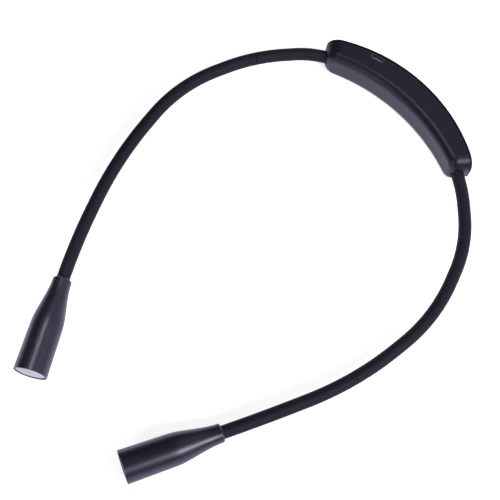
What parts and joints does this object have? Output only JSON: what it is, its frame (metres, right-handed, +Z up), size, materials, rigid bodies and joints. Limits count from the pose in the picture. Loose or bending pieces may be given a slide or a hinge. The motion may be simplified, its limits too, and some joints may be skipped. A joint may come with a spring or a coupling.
{
  "type": "neck reading light",
  "caption": "Reading light worn round the neck: curved battery housing, bendable sleeved arms and bottle-shaped lamp heads that can be aimed one by one.",
  "frame": {"origin": "on the underside of the housing, at the middle of its curve", "axes": "+Z is up with the light laid flat, +Y points outward from the middle of the housing, away from the wearer's neck, and the lamp heads point towards -Y; +X is then on the charging port's far side"},
  "size_m": [0.1912, 0.2667, 0.021],
  "materials": {
    "shell_plastic": "soft-touch matt black",
    "cover_plastic": "soft-touch matt black",
    "head_plastic": "fine satin black",
    "button_plastic": "matt black",
    "sleeve_silicone": "matt black silicone",
    "core_steel": "drawn wire",
    "brass_collar": "turned",
    "sink_aluminium": "turned",
    "led_aluminium": "white solder mask",
    "led_white": "phosphor yellow dome",
    "reflector_plastic": "metallised",
    "lens_diffuser": "white frosted diffuser",
    "circuit_board": "solder mask green",
    "component_plastic": "moulded",
    "port_steel": "nickel plated",
    "light_pipe": "smoked, clear",
    "cell_wrap": "foil pouch",
    "foam": "closed-cell foam",
    "wire_insulation": "insulated",
    "screw_steel": "zinc plated"
  },
  "bodies": {
    "housing": {"main_shell": "shell_plastic", "outer_cover": "cover_plastic", "control_board": "circuit_board", "switch_board": "circuit_board", "board_parts": "component_plastic", "usb_port": "port_steel", "indicator_pipe": "light_pipe", "tact_switches": "component_plastic", "battery_cell": "cell_wrap", "battery_pad": "foam", "battery_leads": "wire_insulation", "board_ribbon": "wire_insulation", "board_screws": "screw_steel", "left_anchor": "brass_collar", "left_core_1": "core_steel", "left_sleeve": "sleeve_silicone", "left_arm_cable": "wire_insulation", "right_anchor": "brass_collar", "right_core_1": "core_steel", "right_sleeve": "sleeve_silicone", "right_arm_cable": "wire_insulation"},
    "left_arm_1": {"left_core_2": "core_steel"},
    "left_arm_2": {"left_core_3": "core_steel"},
    "left_arm_3": {"left_core_4": "core_steel"},
    "left_head": {"left_core_5": "core_steel", "left_head_shell": "head_plastic", "left_neck_ferrule": "brass_collar", "left_heat_sink": "sink_aluminium", "left_led_board": "led_aluminium", "left_led": "led_white", "left_reflector": "reflector_plastic", "left_lens": "lens_diffuser"},
    "left_button": {"left_button": "button_plastic", "left_plunger": "component_plastic"},
    "right_arm_1": {"right_core_2": "core_steel"},
    "right_arm_2": {"right_core_3": "core_steel"},
    "right_arm_3": {"right_core_4": "core_steel"},
    "right_head": {"right_core_5": "core_steel", "right_head_shell": "head_plastic", "right_neck_ferrule": "brass_collar", "right_heat_sink": "sink_aluminium", "right_led_board": "led_aluminium", "right_led": "led_white", "right_reflector": "reflector_plastic", "right_lens": "lens_diffuser"},
    "right_button": {"right_button": "button_plastic", "right_plunger": "component_plastic"}
  },
  "joints": [
    {"name": "left_lift", "type": "hinge", "parent": "housing", "child": "left_arm_1", "pos_m": [-0.06455, -0.02874, 0.0105], "axis": [-0.7722, 0.6354, 0], "range_deg": [-25, 25], "deforming": ["left_sleeve", "left_arm_cable"]},
    {"name": "left_spread", "type": "hinge", "parent": "left_arm_1", "child": "left_arm_2", "pos_m": [-0.08446, -0.06316, 0.0105], "axis": [0, 0, 1], "range_deg": [-25, 12], "deforming": ["left_sleeve", "left_arm_cable"]},
    {"name": "left_turn", "type": "hinge", "parent": "left_arm_2", "child": "left_arm_3", "pos_m": [-0.0897, -0.11222, 0.0105], "axis": [0, 0, 1], "range_deg": [-25, 15], "deforming": ["left_sleeve", "left_arm_cable"]},
    {"name": "left_tilt", "type": "hinge", "parent": "left_arm_3", "child": "left_head", "pos_m": [-0.07382, -0.16989, 0.0105], "axis": [-0.9249, -0.3803, 0], "range_deg": [-25, 25], "deforming": ["left_sleeve", "left_arm_cable"]},
    {"name": "right_lift", "type": "hinge", "parent": "housing", "child": "right_arm_1", "pos_m": [0.06542, -0.02782, 0.0105], "axis": [-0.6978, -0.7163, 0], "range_deg": [-25, 25], "deforming": ["right_sleeve", "right_arm_cable"]},
    {"name": "right_spread", "type": "hinge", "parent": "right_arm_1", "child": "right_arm_2", "pos_m": [0.08663, -0.06118, 0.0105], "axis": [0, 0, 1], "range_deg": [-12, 25], "deforming": ["right_sleeve", "right_arm_cable"]},
    {"name": "right_turn", "type": "hinge", "parent": "right_arm_2", "child": "right_arm_3", "pos_m": [0.0921, -0.11037, 0.0105], "axis": [0, 0, 1], "range_deg": [-15, 25], "deforming": ["right_sleeve", "right_arm_cable"]},
    {"name": "right_tilt", "type": "hinge", "parent": "right_arm_3", "child": "right_head", "pos_m": [0.07664, -0.16806, 0.0105], "axis": [-0.9167, 0.3995, 0], "range_deg": [-25, 25], "deforming": ["right_sleeve", "right_arm_cable"]},
    {"name": "left_button_press", "type": "slide", "parent": "housing", "child": "left_button", "axis": [0.2588, -0.9659, 0], "range_m": [0, 0.0004], "stiffness_N_per_m": 1000},
    {"name": "right_button_press", "type": "slide", "parent": "housing", "child": "right_button", "axis": [-0.2588, -0.9659, 0], "range_m": [0, 0.0004], "stiffness_N_per_m": 1000}
  ]
}
